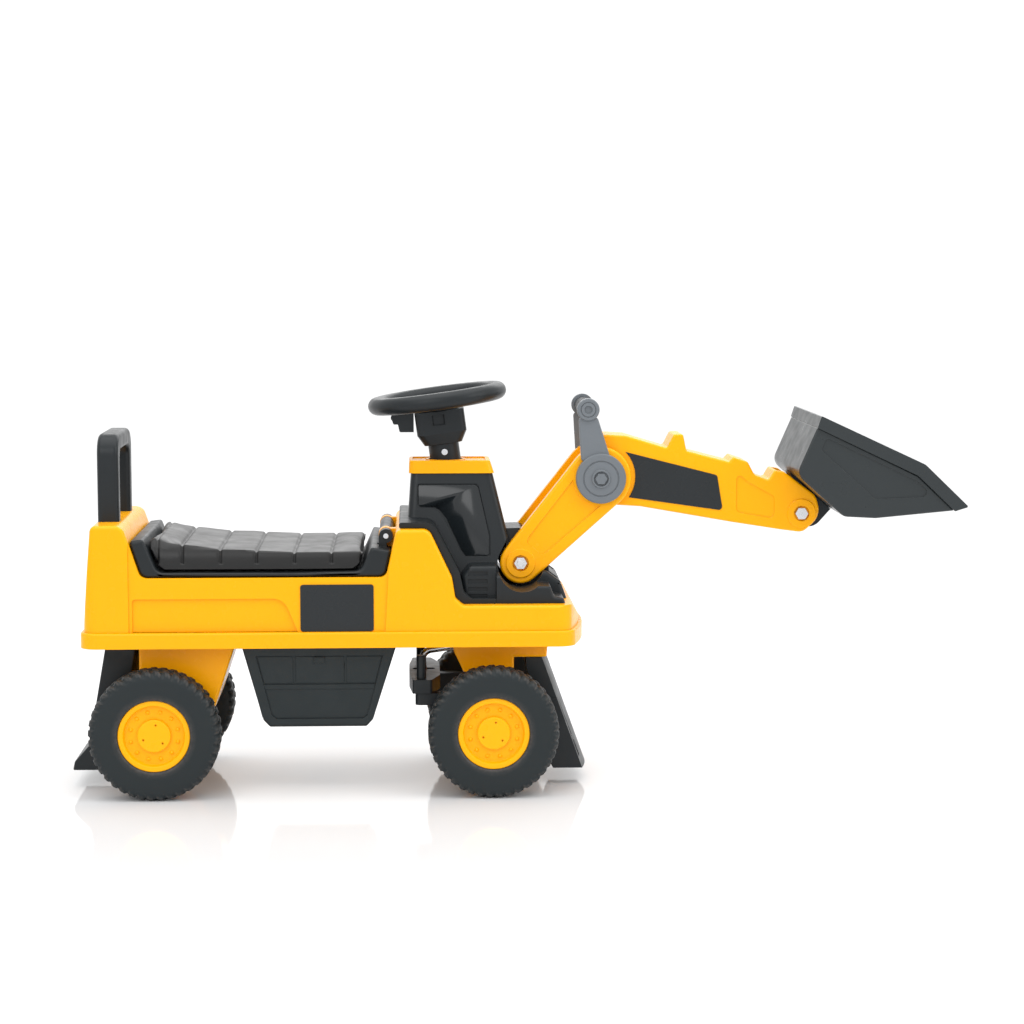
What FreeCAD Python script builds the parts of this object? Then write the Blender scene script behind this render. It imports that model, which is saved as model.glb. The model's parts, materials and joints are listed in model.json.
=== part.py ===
"""Ride-on digger: a push-along toy excavator, one STEP file per separate piece.

Frame: +X forward, +Y to the rider's left, +Z up, origin on the floor at the middle of the
whole length and width.  Millimetres.  Each function below makes one piece, or the same piece
for the left (side = 1) and the right (side = -1).
"""
import FreeCAD
import Part
import math
import os

# ---------------------------------------------------------------- driving dimensions
WHEEL_R = 75.0            # over the tread
WHEEL_W = 41.0            # tyre width
TRACK = 220.0             # between the middles of the left and right tyres
REAR_X, FRONT_X = -415.0, -30.0
AXLE_R = 5.0              # wheel axles, 10 mm rod
RUN = 0.08                # radial clearance of a running fit
GAP = 0.4                 # clearance between pieces that move past each other

WALL = 3.0                # moulded wall
BODY_W = 112.0            # half width of the body
SEAT_SIDE_W = 110.0       # half width of the body beside the seat
RIM_W = 116.0             # half width of the rim around the bottom
TRAY_Z, RIM_Z = 173.0, 191.0
DECK_Z = 253.0            # deck under the seat
NOSE_Z = 220.0            # deck under the hood
FRONT_BULGE = 13.0        # how far the front stands out at its middle

STEER_TOP = (-92.0, 450.0)          # middle of the steering wheel's ring (x, z)
STEER_TILT = math.radians(7.7)      # the column leans back by this much
RING_R, GRIP_R = 71.5, 10.0         # steering wheel ring and the thickness of its grip
KINGPIN_Y, KINGPIN_R = 67.0, 3.0
ARM_PIN = (-112.0, 67.0)            # steering arm pin (x, y)

HINGE_X, HINGE_Z = -152.0, 297.0    # seat hinge axis
LIFT_X, LIFT_Z = 4.0, 260.0         # lower arm pivot
ELBOW_X, ELBOW_Z = 97.0, 359.0      # boom pivot
WRIST_X, WRIST_Z = 335.0, 315.0     # bucket pivot
BOLT_R = 4.2
PLATE_IN, PLATE_OUT = 31.0, 45.0    # the arm's side plates, distance from the middle
BOOM_W = 28.0                       # half width of the boom
LEVER_IN, LEVER_OUT = 45.4, 54.0
GRIP_X, GRIP_Z = 82.0, 439.0
BUCKET_W = 98.0                     # half width of the bucket
FORK_W = 19.0                       # half width of the gap in the boom's fork


# ---------------------------------------------------------------- small tools
def xz(a, b, c):
    """Place a flat outline upright, facing along Y."""
    return FreeCAD.Vector(a, c, b)


def xy(a, b, c):
    """Place a flat outline level, facing along Z."""
    return FreeCAD.Vector(a, b, c)


def yz(a, b, c):
    """Place a flat outline upright, facing along X."""
    return FreeCAD.Vector(c, a, b)


def outline(corners, place=xz, at=0.0):
    """Closed wire through (a, b, radius) corners, each rounded to its own radius."""
    count = len(corners)
    runs = []
    for i, (a, b, radius) in enumerate(corners):
        point = FreeCAD.Vector(a, b, 0)
        before = FreeCAD.Vector(*corners[i - 1][:2], 0) - point
        after = FreeCAD.Vector(*corners[(i + 1) % count][:2], 0) - point
        if radius == 0:
            runs.append((point, None, point))
            continue
        before.normalize()
        after.normalize()
        half = before.getAngle(after) / 2
        reach = radius / math.tan(half)
        middle = before + after
        middle.normalize()
        top = point + middle * (radius / math.sin(half) - radius)
        runs.append((point + before * reach, top, point + after * reach))
    edges = []
    for i, (start, top, end) in enumerate(runs):
        placed = [None if p is None else place(p.x, p.y, at) for p in (start, top, end)]
        if top is not None:
            edges.append(Part.Arc(*placed).toShape())
        following = runs[(i + 1) % count][0]
        after = place(following.x, following.y, at)
        if placed[2].distanceToPoint(after) > 1e-6:
            edges.append(Part.LineSegment(placed[2], after).toShape())
    return Part.Wire(edges)


def across(corners, low, high):
    """Solid of an upright XZ outline between two Y values."""
    face = Part.Face(outline(corners, xz, low))
    return face.extrude(FreeCAD.Vector(0, high - low, 0))


def upward(corners, low, high):
    """Solid of a level XY outline between two Z values."""
    face = Part.Face(outline(corners, xy, low))
    return face.extrude(FreeCAD.Vector(0, 0, high - low))


def forward(corners, low, high):
    """Solid of an upright YZ outline between two X values."""
    face = Part.Face(outline(corners, yz, low))
    return face.extrude(FreeCAD.Vector(high - low, 0, 0))


def box(x0, x1, y0, y1, z0, z1):
    return Part.makeBox(x1 - x0, y1 - y0, z1 - z0, FreeCAD.Vector(x0, y0, z0))


def rod_y(x, z, radius, low, high):
    return Part.makeCylinder(radius, high - low, FreeCAD.Vector(x, low, z), FreeCAD.Vector(0, 1, 0))


def rod_z(x, y, radius, low, high):
    return Part.makeCylinder(radius, high - low, FreeCAD.Vector(x, y, low))


def hexagon_y(x, z, across_flats, low, high):
    """Hexagonal bolt head or nut along Y."""
    corner = across_flats / math.sqrt(3)
    turns = [math.radians(60 * k) for k in range(6)]
    points = [(x + corner * math.cos(t), z + corner * math.sin(t), 0) for t in turns]
    return across(points, low, high)


def rounded(x0, x1, a0, a1, radius):
    """Corners of a rectangle with equal rounding."""
    return [(x0, a0, radius), (x1, a0, radius), (x1, a1, radius), (x0, a1, radius)]


def on_side(side, inner, outer):
    """The Y span between two distances from the middle, on one side."""
    return (inner, outer) if side > 0 else (-outer, -inner)


def fuse(shapes):
    return shapes[0].multiFuse(shapes[1:]).removeSplitter()


def soften(shape, radius, wanted):
    """Round the edges whose every point satisfies wanted(point)."""
    edges = []
    for edge in shape.Edges:
        first, last = edge.ParameterRange
        points = [edge.valueAt(first + (last - first) * k / 4) for k in range(5)]
        if all(wanted(p) for p in points):
            edges.append(edge)
    return shape.makeFillet(radius, edges)


def near(value, target, tolerance=0.01):
    return abs(value - target) < tolerance


def hull_of_two(ax, az, ar, bx, bz, br, low, high):
    """Plate whose outline wraps two circles."""
    length = math.hypot(bx - ax, bz - az)
    angle = math.atan2(bz - az, bx - ax)
    lean = math.acos((ar - br) / length)
    points = []
    for turn in (angle + lean, angle - lean):
        c, s = math.cos(turn), math.sin(turn)
        points.append(((ax + ar * c, az + ar * s), (bx + br * c, bz + br * s)))
    (a1, b1), (a2, b2) = points
    web = across([(*a1, 0), (*b1, 0), (*b2, 0), (*a2, 0)], low, high)
    return fuse([web, rod_y(ax, az, ar, low, high), rod_y(bx, bz, br, low, high)])


# ---------------------------------------------------------------- body
def body_plan(grow, back, side_x, low, high):
    """Level outline of the body: rounded rear corners and a front that bulges forward."""
    half = BODY_W + grow
    rear, front, corner = back - grow, side_x + grow, 16.0 + grow
    points = [FreeCAD.Vector(x, y, low) for x, y in (
        (front, -half + corner), (front + FRONT_BULGE, 0), (front, half - corner))]
    bulge = Part.Arc(*points).toShape()
    left = Part.Arc(FreeCAD.Vector(front, half - corner, low),
                    FreeCAD.Vector(front - corner * 0.3, half - corner * 0.3, low),
                    FreeCAD.Vector(front - corner, half, low)).toShape()
    right = Part.Arc(FreeCAD.Vector(front - corner, -half, low),
                     FreeCAD.Vector(front - corner * 0.3, -half + corner * 0.3, low),
                     FreeCAD.Vector(front, -half + corner, low)).toShape()
    rear_left = Part.Arc(FreeCAD.Vector(rear + corner, half, low),
                         FreeCAD.Vector(rear + corner * 0.3, half - corner * 0.3, low),
                         FreeCAD.Vector(rear, half - corner, low)).toShape()
    rear_right = Part.Arc(FreeCAD.Vector(rear, -half + corner, low),
                          FreeCAD.Vector(rear + corner * 0.3, -half + corner * 0.3, low),
                          FreeCAD.Vector(rear + corner, -half, low)).toShape()

    def straight(x0, y0, x1, y1):
        return Part.LineSegment(FreeCAD.Vector(x0, y0, low), FreeCAD.Vector(x1, y1, low)).toShape()

    wire = Part.Wire([right, bulge, left,
                      straight(front - corner, half, rear + corner, half), rear_left,
                      straight(rear, half - corner, rear, -half + corner), rear_right,
                      straight(rear + corner, -half, front - corner, -half)])
    return Part.Face(wire).extrude(FreeCAD.Vector(0, 0, high - low))


BODY_SIDE = [(-495, 191, 0), (-485, 313, 7), (-449, 313, 12), (-429, DECK_Z, 10),
             (-152, DECK_Z, 9), (-140, 307, 7), (-103, 307, 12), (-77, 252, 8),
             (-73, 228, 6), (-64, NOSE_Z, 6), (60, NOSE_Z, 5), (76, 191, 0)]
BACK_X, FRONT_SIDE_X = -495.0, 61.0
BIN_OPENING = (-330.0, -160.0, 84.0)        # x from, x to, half width
LEG_SOCKETS_Y = 58.0                        # backrest legs, distance from the middle
LEG_BACK_X, LEG_FRONT_X, LEG_FOOT_Z = -481.5, -457.0, 276.0


def chassis_shell():
    """Yellow upper body: rear hump, seat deck, fender and nose, open underneath."""
    outer = across(BODY_SIDE, -BODY_W, BODY_W)
    outer = soften(outer, 4.0, lambda p: near(abs(p.y), BODY_W) and p.z > RIM_Z + 0.5)
    outer = outer.common(body_plan(0, BACK_X, FRONT_SIDE_X, RIM_Z, 320))
    inner = Part.Face(outline(BODY_SIDE)).makeOffset2D(-WALL)
    inner.translate(FreeCAD.Vector(0, -BODY_W + 2 * WALL + 1, 0))
    inner = inner.extrude(FreeCAD.Vector(0, 2 * (BODY_W - 2 * WALL - 1), 0))
    inner = inner.fuse(box(BACK_X + 2 * WALL, 58, -BODY_W + 7, BODY_W - 7, 180, RIM_Z + 5))
    inner = inner.common(body_plan(-WALL, BACK_X, FRONT_SIDE_X, 170, 320))
    cuts = [inner]
    x0, x1, half = BIN_OPENING
    cuts.append(box(x0, x1, -half, half, DECK_Z - 10, DECK_Z + 10))
    for side in (1, -1):
        beside = on_side(side, SEAT_SIDE_W, BODY_W + 5)
        cuts.append(across([(-443, 315, 0), (-443, 186, 0), (-153, 186, 0), (-146, 315, 0)], *beside))
        lower = on_side(side, SEAT_SIDE_W - 2.5, BODY_W + 5)
        cuts.append(across([(-439, 186, 0), (-439, 229, 4), (-268, 229, 18), (-250, 186, 0)], *lower))
    cuts.append(along_axis(12.0, 150, 260))
    shell = outer.cut(cuts[0])
    for tool in cuts[1:]:
        shell = shell.cut(tool)
    sockets = []
    for side in (1, -1):
        leg = side * LEG_SOCKETS_Y
        sockets.append(box(-490, -454, leg - 13, leg + 13, 270, 314).common(outer))
    knuckles = []
    for middle in (-60.0, 60.0):
        web = across([(HINGE_X - 7, HINGE_Z, 0), (HINGE_X - 4, HINGE_Z + 7, 4), (-139, HINGE_Z + 7, 0),
                      (-139, HINGE_Z - 14, 0), (HINGE_X + 2, HINGE_Z - 14, 0)], middle - 7, middle + 7)
        eye = rod_y(HINGE_X, HINGE_Z, 8.5, middle - 7, middle + 7)
        knuckles.append(fuse([web, eye]).cut(rod_y(HINGE_X, HINGE_Z, 3.0, -80, 80)))
    shell = fuse([shell] + sockets + knuckles)
    for side in (1, -1):
        leg = side * LEG_SOCKETS_Y
        shell = shell.cut(box(LEG_BACK_X, LEG_FRONT_X, leg - 10, leg + 10, LEG_FOOT_Z, 320))
    return shell


def chassis_tray():
    """Yellow floor of the body with the rim band around it."""
    outer = body_plan(RIM_W - BODY_W, BACK_X, FRONT_SIDE_X, TRAY_Z, RIM_Z)
    outer = soften(outer, 2.5, lambda p: near(p.z, RIM_Z))
    pocket = body_plan(-2.5, BACK_X, FRONT_SIDE_X, TRAY_Z + WALL, RIM_Z + 1)
    tray = outer.cut(pocket)
    tray = tray.cut(upward(rounded(-323, -135, -92, 92, 6), TRAY_Z - 1, TRAY_Z + WALL + 1))
    tray = tray.cut(rod_z(steer_x(TRAY_Z), 0, 9, TRAY_Z - 1, TRAY_Z + WALL + 1))
    for x, y in SCREW_PLACES:
        tray = tray.cut(rod_z(x, y, 2.2, TRAY_Z - 1, TRAY_Z + WALL + 1))
    return tray


SCREW_PLACES = [(x, y) for x in (-470.0, -345.0, -95.0, 40.0) for y in (-96.0, 96.0)]


def chassis_screws():
    """Eight pan-head screws under the floor of the body."""
    screws = []
    for x, y in SCREW_PLACES:
        head = rod_z(x, y, 4.0, TRAY_Z - 2.4, TRAY_Z)
        shank = rod_z(x, y, 2.0, TRAY_Z, TRAY_Z + 12)
        screws.append(head.fuse(shank).removeSplitter())
    return Part.makeCompound(screws)


def storage_bin():
    """Dark tub that hangs through the body under the seat."""
    top, ledge, bottom = DECK_Z - WALL, TRAY_Z, 75.0
    side = [(-318, ledge, 0), (-294, 84, 4), (-286, bottom, 4), (-176, bottom, 4),
            (-168, 84, 4), (-140, ledge, 0)]
    across_face = [(-89, ledge, 0), (-79, bottom, 5), (79, bottom, 5), (89, ledge, 0)]
    lower = across(side, -95, 95).common(forward(across_face, -330, -130))
    upper = box(-318, -162, -82, 82, ledge, top)
    inner_side = [(-314.6, ledge + 1, 0), (-291, 86, 3), (-284, bottom + WALL, 3),
                  (-178, bottom + WALL, 3), (-171, 86, 3), (-143.4, ledge + 1, 0)]
    inner_face = [(-85.6, ledge + 1, 0), (-76, bottom + WALL, 4), (76, bottom + WALL, 4),
                  (85.6, ledge + 1, 0)]
    inside = across(inner_side, -95, 95).common(forward(inner_face, -330, -130))
    inside = inside.common(box(-330, -130, -95, 95, 60, ledge - WALL))
    throat = box(-314, -166, -78, 78, ledge - WALL - 1, top + 1)
    tub = fuse([lower, upper]).cut(fuse([inside, throat]))
    for s in (1, -1):
        y0, y1 = on_side(s, 86.6, 95)
        panel = [(-304, 151, 3), (-286, 88, 4), (-176, 88, 4), (-158, 151, 3)]
        tub = tub.cut(across(panel, y0, y1))
        for x in (-261.0, -201.0):
            tub = tub.cut(box(x - 0.7, x + 0.7, *on_side(s, 85.8, 95), 120, 151))
        tub = tub.cut(box(-300, -162, *on_side(s, 85.8, 95), 119, 120.6))
    return tub


def backrest_handle():
    """Black hoop behind the seat; its two legs stand in the sockets of the body."""
    half, top, tube, foot = LEG_SOCKETS_Y + 10, 413.0, 20.0, LEG_FOOT_Z
    hoop = forward([(-half, foot, 0), (-half, top, 24), (half, top, 24), (half, foot, 0)],
                   LEG_BACK_X, LEG_FRONT_X)
    hole = forward([(-half + tube, foot - 5, 0), (-half + tube, top - tube, 12),
                    (half - tube, top - tube, 12), (half - tube, foot - 5, 0)],
                   LEG_BACK_X - 5, LEG_FRONT_X + 5)
    hoop = hoop.cut(hole)
    sides = (LEG_BACK_X, LEG_FRONT_X)
    return soften(hoop, 5.5, lambda p: (near(p.x, sides[0]) or near(p.x, sides[1])) and p.z > foot + 1)


def rear_leg():
    """Yellow pedestal that carries the rear axle."""
    side = [(-436, TRAY_Z, 0), (-436, 120, 8), (-427, 56, 8), (-403, 56, 8), (-352, 92, 14),
            (-325, TRAY_Z, 0)]
    block = across(side, -78, 78)
    block = soften(block, 4.0, lambda p: near(abs(p.y), 78) and p.z < TRAY_Z - 0.5)
    hollow = across([(-431, TRAY_Z + 1, 0), (-431, 120, 5), (-424, 92, 5), (-362, 100, 10),
                     (-332, TRAY_Z + 1, 0)], -74, 74)
    return block.cut(hollow).cut(rod_y(REAR_X, WHEEL_R, AXLE_R, -90, 90))


def front_leg():
    """Yellow pedestal with the four ears that hold the two kingpins."""
    side = [(-76, TRAY_Z, 0), (-74, 158, 0), (-62, 132, 8), (-52, 34, 6), (-6, 34, 6),
            (-4, 151, 0), (34, 151, 2), (36, TRAY_Z, 0)]
    block = across(side, -56, 56)
    block = soften(block, 3.0, lambda p: near(abs(p.y), 56) and 40 < p.z < TRAY_Z - 0.5)
    ears = []
    for s in (1, -1):
        for low, high in ((113, 121), (34, 42)):
            y0, y1 = on_side(s, 50, KINGPIN_Y)
            ears.append(box(FRONT_X - 11, FRONT_X + 11, y0, y1, low, high))
            ears.append(rod_z(FRONT_X, s * KINGPIN_Y, 11, low, high))
    leg = fuse([block] + ears)
    hollow = across([(-47, 108, 4), (-44, 40, 4), (-12, 40, 4), (-10, 108, 4)], -51, 51)
    crank_space = box(-80, -8, -49, 49, 117, TRAY_Z + 1)
    leg = leg.cut(hollow).cut(crank_space)
    for s in (1, -1):
        leg = leg.cut(box(-90, -34, *on_side(s, 45, 60), 98.4, 113.4))
        leg = leg.cut(rod_z(FRONT_X, s * KINGPIN_Y, KINGPIN_R, 30, 125))
    return leg


def kingpins():
    """Two steel pins that the front wheels steer about."""
    pins = []
    for s in (1, -1):
        shank = rod_z(FRONT_X, s * KINGPIN_Y, KINGPIN_R, 34, 121)
        head = rod_z(FRONT_X, s * KINGPIN_Y, 5.0, 121, 123.5)
        pins.append(shank.fuse(head).removeSplitter())
    return Part.makeCompound(pins)


def front_blade():
    """Black skirt under the nose, bowed forward, that ends in a toe above the floor."""
    side = [(10, 150.6, 0), (10, 140, 0), (38, 26, 3), (42, 19, 1.5), (89, 19, 1.5), (89, 26, 1.5),
            (44, 150.6, 0)]
    blade = across(side, -53, 53)
    bow = Part.Face(Part.Wire(Part.makeCircle(230, FreeCAD.Vector(-141, 0, 0))))
    blade = blade.common(bow.extrude(FreeCAD.Vector(-72, 0, 200)))
    blade = blade.cut(across([(16, 140, 0), (44, 30, 3), (74, 30, 3), (33, 140, 0)], -48, 48))
    for s in (1, -1):
        blade = blade.cut(box(0, 100, *on_side(s, 52.2, 60), 101.6, 103.2))
    return blade


def rear_stabiliser():
    """Black support behind the rear axle with a sloping toe."""
    block = across([(-476, TRAY_Z, 0), (-498, 50, 5), (-515, 31, 1.5), (-517, 21, 1.5), (-468, 21, 4),
                    (-440, TRAY_Z, 0)], -53, 53)
    block = soften(block, 2.0, lambda p: near(abs(p.y), 53) and 30 < p.z < TRAY_Z - 0.5)
    hollow = across([(-471, 168, 0), (-491, 54, 3), (-474, 54, 3), (-447, 168, 0)], -49, 49)
    return block.cut(hollow)


def rear_axle():
    """Steel rod through the rear pedestal, with both rear wheels on its ends."""
    return rod_y(REAR_X, WHEEL_R, AXLE_R, -TRACK / 2 - 12, TRACK / 2 + 12)


def axle_retainers():
    """Push-on caps at both ends of the rear axle."""
    caps = []
    for s in (1, -1):
        y0, y1 = on_side(s, TRACK / 2 + 8.0, TRACK / 2 + 14)
        caps.append(rod_y(REAR_X, WHEEL_R, 8.5, y0, y1).cut(
            rod_y(REAR_X, WHEEL_R, AXLE_R, *on_side(s, TRACK / 2, TRACK / 2 + 12))))
    return Part.makeCompound(caps)


def side_plate(side):
    """Thin black name plate on the side of the body, left blank."""
    y0, y1 = on_side(side, SEAT_SIDE_W, SEAT_SIDE_W + 1.2)
    plate = across(rounded(-249, -166, 191.5, 245, 3), y0, y1)
    return plate


# ---------------------------------------------------------------- cab and hood
def steer_x(z):
    """Where the steering axis passes at height z."""
    return STEER_TOP[0] + (STEER_TOP[1] - z) * math.tan(STEER_TILT)


def on_axis(distance):
    """Point on the steering axis this far below the ring's middle."""
    down = FreeCAD.Vector(math.sin(STEER_TILT), 0, -math.cos(STEER_TILT))
    return FreeCAD.Vector(STEER_TOP[0], 0, STEER_TOP[1]) + down * distance


AXIS_UP = FreeCAD.Vector(-math.sin(STEER_TILT), 0, math.cos(STEER_TILT))


def along_axis(radius, start, end):
    """Cylinder about the steering axis between two distances below the ring."""
    return Part.makeCylinder(radius, end - start, on_axis(end), AXIS_UP)


CAB_TOP_Z, CAP_TOP_Z = 364.0, 379.0
CAB_JOIN_X = -26.0                       # where the cab's skirt meets the hood


def cab_core(inset, bottom, top):
    """Tapered cab: wide at the deck, narrow under the cap."""
    sections = []
    for z, rear, front, half in ((NOSE_Z, -133, 7, 58), (CAB_TOP_Z, -123, -28, 29)):
        sections.append(outline(rounded(rear + inset, front - inset, -half + inset, half - inset, 8),
                                xy, z))
    solid = Part.makeLoft(sections, True, True)
    return solid.common(box(-200, 60, -100, 100, bottom, top))


SKIRT = [(-137, 307.6, 1.5), (-137, 314, 3), (-98, 313, 14), (-68, 256, 10), (-63, 233, 8),
         (-54, 226, 4), (60, 226, 4), (60, NOSE_Z + 0.1, 0), (-64, NOSE_Z + 0.1, 6),
         (-72.6, 228, 6), (-76.6, 252, 8), (-102.8, 307.6, 12)]


def cab_housing():
    """Black cab moulding: tapered cab, windows, and the skirt that follows the fender."""
    under = [(-200, 180, 0), (-200, 307.6, 0), (-102.8, 307.6, 12), (-76.6, 252, 8),
             (-72.6, 228, 6), (-64, NOSE_Z + 0.1, 6), (90, NOSE_Z + 0.1, 0), (90, 180, 0)]
    core = cab_core(0, NOSE_Z, CAB_TOP_Z).cut(across(under, -BODY_W, BODY_W))
    skirt = across(SKIRT, -97, 97)
    skirt = skirt.common(box(-200, CAB_JOIN_X, -100, 100, 200, 400))
    foot = across([(-62, NOSE_Z + 0.1, 4), (-66, 250, 8), (-56, 262, 6), (CAB_JOIN_X, 262, 0),
                   (CAB_JOIN_X, NOSE_Z + 0.1, 0)], -86, 86)
    foot = soften(foot, 5.0, lambda p: near(abs(p.y), 86) and p.z > NOSE_Z + 1 and p.x < CAB_JOIN_X - 1)
    cab = fuse([core, skirt, foot])
    floor = Part.Face(outline(under)).makeOffset2D(WALL + 0.5)
    floor.translate(FreeCAD.Vector(0, -BODY_W, 0))
    hollow = cab_core(4.0, NOSE_Z, CAB_TOP_Z - WALL)
    hollow = hollow.cut(floor.extrude(FreeCAD.Vector(0, 2 * BODY_W, 0)))
    cab = cab.cut(hollow)
    for s in (1, -1):
        window = [(-116, 352, 4), (-45, 352, 5), (-31, 292, 3), (-31, 268, 3), (-62, 268, 8),
                  (-78, 300, 14), (-92, 324, 12), (-116, 325, 4)]
        glass = across(window, *on_side(s, 30, 100))
        leaning = cab_core(1.8, 262, 356)
        cab = cab.cut(glass.cut(leaning))
        for z in (225, 233, 242, 251):
            cab = cab.cut(box(-58, -36, *on_side(s, 84.4, 90), z, z + 4.5))
    for s in (1, -1):
        cab = cab.cut(rod_y(LIFT_X, LIFT_Z, 27, *on_side(s, 30.4, 70)))
        cab = cab.cut(across(RAISED_SPACE, *on_side(s, 30.4, 70)))
    cab = cab.cut(along_axis(19.0, 60, 140))
    return cab.cut(along_axis(8.0, 130, 260))


def cab_cap():
    """Yellow lid on the cab with the hole for the steering column."""
    top = Part.makeLoft([outline(rounded(-125.5, -26, -31, 31, 7), xy, CAB_TOP_Z),
                         outline(rounded(-125, -31, -30, 30, 7), xy, CAP_TOP_Z)], True, True)
    top = soften(top, 2.0, lambda p: near(p.z, CAP_TOP_Z))
    top = top.cut(along_axis(20.0, 40, 110))
    dish = upward(rounded(-121, -36, -25, 25, 4), CAP_TOP_Z - 1.5, CAP_TOP_Z + 1)
    collar = along_axis(23.0, 60, 95).cut(along_axis(20.0, 40, 110)).common(
        box(-200, 0, -60, 60, CAB_TOP_Z, CAP_TOP_Z))
    return fuse([top.cut(dish), collar])


def hood():
    """Black nose moulding with the lug that the lower arm turns on."""
    base = across([(CAB_JOIN_X + 0.2, NOSE_Z + 0.1, 0), (CAB_JOIN_X + 0.2, 252, 0), (-8, 252, 3),
                   (0, 240, 4), (36, 240, 3), (40, 228, 4), (51, 226, 3), (53, NOSE_Z + 0.1, 0)], -97, 97)
    base = soften(base, 4.0, lambda p: near(abs(p.y), 97) and p.z > NOSE_Z + 1 and p.x > CAB_JOIN_X + 1)
    nose = across([(0, NOSE_Z + 0.1, 0), (0, 252, 0), (34, 252, 8), (50, 240, 8), (57, NOSE_Z + 0.1, 0)],
                  -56, 56)
    nose = soften(nose, 5.0, lambda p: near(abs(p.y), 56) and p.z > NOSE_Z + 1 and p.x > 1)
    tower = across([(CAB_JOIN_X + 0.2, NOSE_Z + 0.1, 0), (CAB_JOIN_X + 0.2, 299, 0), (6, 300, 10),
                    (37, 268, 14), (39, NOSE_Z + 0.1, 0)], -PLATE_IN + GAP, PLATE_IN - GAP)
    moulding = fuse([base, nose, tower]).cut(cab_core(0, NOSE_Z, CAB_TOP_Z))
    for s in (1, -1):
        swing = rod_y(LIFT_X, LIFT_Z, 27.0, *on_side(s, PLATE_IN - GAP, 100))
        moulding = moulding.cut(swing)
        sweep = across(SWING_SPACE, *on_side(s, PLATE_IN - GAP, PLATE_OUT + 3))
        moulding = moulding.cut(sweep)
    groove = box(46, 70, -97, 97, 236.4, 238)
    moulding = moulding.cut(groove)
    return moulding.cut(rod_y(LIFT_X, LIFT_Z, BOLT_R, -40, 40))


# clear of the arm plates from raised to fully lowered
SWING_SPACE = [(LIFT_X - 27, LIFT_Z, 0), (LIFT_X - 27, LIFT_Z + 60, 0), (LIFT_X + 90, LIFT_Z + 60, 0),
               (LIFT_X + 90, LIFT_Z - 10, 0), (LIFT_X, LIFT_Z - 27, 0)]
RAISED_SPACE = [(LIFT_X, LIFT_Z, 0), (LIFT_X - 27, LIFT_Z + 2, 0), (LIFT_X - 24, LIFT_Z + 12, 0),
                (LIFT_X - 8, LIFT_Z + 44, 0), (LIFT_X + 6, LIFT_Z + 44, 0)]


# ---------------------------------------------------------------- steering
def steering_wheel():
    """Black ring with three spokes and a hub; the horn button sits in the hub."""
    ring = Part.makeTorus(RING_R, GRIP_R, on_axis(0), AXIS_UP)
    hub = Part.makeCylinder(24, 16, on_axis(14), AXIS_UP)
    spokes = []
    for turn in (90, 180, 270):
        bar = box(18, RING_R - 3, -9, 9, -7, 1)
        bar = soften(bar, 2.5, lambda p: near(abs(p.y), 9))
        bar.rotate(FreeCAD.Vector(0, 0, 0), FreeCAD.Vector(0, 0, 1), turn)
        bar.rotate(FreeCAD.Vector(0, 0, 0), FreeCAD.Vector(0, 1, 0), -math.degrees(STEER_TILT))
        bar.translate(on_axis(3))
        spokes.append(bar)
    rim = fuse([ring, hub] + spokes)
    pocket = Part.makeCylinder(BUTTON_R + GAP, 14, on_axis(8), AXIS_UP)
    return rim.cut(pocket)


BUTTON_R = 18.0


def horn_button():
    """Round button in the middle of the steering wheel; it travels 2.5 mm."""
    button = Part.makeCylinder(BUTTON_R, 8, on_axis(4.5), AXIS_UP)
    dome = Part.makeSphere(60, on_axis(-4.5) - AXIS_UP * 60)
    return button.common(dome)


def steering_housing():
    """Black box under the ring that holds the sounder and its batteries."""
    def level(half_x, half_y, shift, distance):
        wire = outline(rounded(-half_x + shift, half_x + shift, -half_y, half_y, 8), xy, 0)
        wire.rotate(FreeCAD.Vector(0, 0, 0), FreeCAD.Vector(0, 1, 0), -math.degrees(STEER_TILT))
        wire.translate(on_axis(distance))
        return wire

    top = Part.makeLoft([level(29, 27, 0, 14.2), level(29, 27, 0, 40)], True, True)
    foot = Part.makeLoft([level(29, 27, 0, 40), level(22, 21, 0, 53)], True, True)
    body = fuse([top, foot])
    recess = level(12, 27.5, -2, 18)
    niche = Part.Face(recess).extrude(AXIS_UP * -12)
    inner = Part.Face(level(13, 25, -2, 17)).extrude(AXIS_UP * -14)
    body = body.cut(niche.cut(inner))
    inside = Part.makeLoft([level(25, 23, 0, 17), level(25, 23, 0, 39)], True, True)
    body = body.cut(inside)
    return body.cut(along_axis(ROD_R, 0, 80))


ROD_R = 4.0


def switch_pod():
    """Stepped switch box on the driver's side of the housing."""
    steps = [(-119.5, 411, 0), (-119.5, 433.5, 0), (-151, 429.5, 3), (-145, 425, 2), (-143, 420, 1),
             (-138, 420, 1), (-136, 411, 2)]
    return across(steps, -16, 16)


SCREW_DOWN = 62.5          # the collar's screw, below the ring's middle


def steering_sleeve():
    """Black collar that joins the housing to the steel rod."""
    sleeve = along_axis(18.0, 53.2, 88)
    sleeve = sleeve.cut(along_axis(ROD_R, 50, 90))
    middle = on_axis(SCREW_DOWN)
    screw_hole = Part.makeCylinder(2.0, 30, middle, FreeCAD.Vector(0, -1, 0))
    return sleeve.cut(screw_hole)


def steering_screw():
    """Cross-head screw that pins the collar to the rod."""
    middle = on_axis(SCREW_DOWN)
    head = Part.makeCylinder(3.6, 2.2, middle + FreeCAD.Vector(0, -18.0, 0), FreeCAD.Vector(0, -1, 0))
    shank = Part.makeCylinder(2.0, 13.9, middle + FreeCAD.Vector(0, -4.1, 0), FreeCAD.Vector(0, -1, 0))
    return head.fuse(shank).removeSplitter()


CRANK_Z = 158.0


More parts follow.
